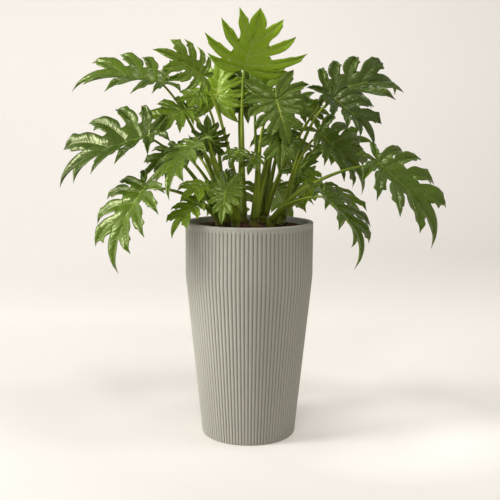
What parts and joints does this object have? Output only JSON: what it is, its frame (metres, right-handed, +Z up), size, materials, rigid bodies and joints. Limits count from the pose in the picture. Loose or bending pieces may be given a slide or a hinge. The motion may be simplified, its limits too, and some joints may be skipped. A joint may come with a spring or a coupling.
{
  "type": "potted philodendron",
  "caption": "Bushy split-leaf house plant with long-stalked, deeply lobed glossy leaves, growing from soil in a tall ribbed planter that tapers to its foot.",
  "frame": {"origin": "centre of the planter's foot, on the surface it stands on", "axes": "+Z up through the planter's middle, -Y towards the front of the plant, +X to the right of it"},
  "size_m": [1.1775, 0.8165, 1.3251],
  "materials": {
    "planter": "matt sage grey",
    "soil": "rough dark crumbs",
    "foliage": "glossy deep green with yellow-green veins and stalks"
  },
  "bodies": {
    "root": {"planter": "planter", "potting_soil": "soil", "leafy_stem_1": "foliage", "leafy_stem_2": "foliage", "leafy_stem_3": "foliage", "leafy_stem_4": "foliage", "leafy_stem_5": "foliage", "leafy_stem_6": "foliage", "leafy_stem_7": "foliage", "leafy_stem_8": "foliage"}
  },
  "joints": []
}
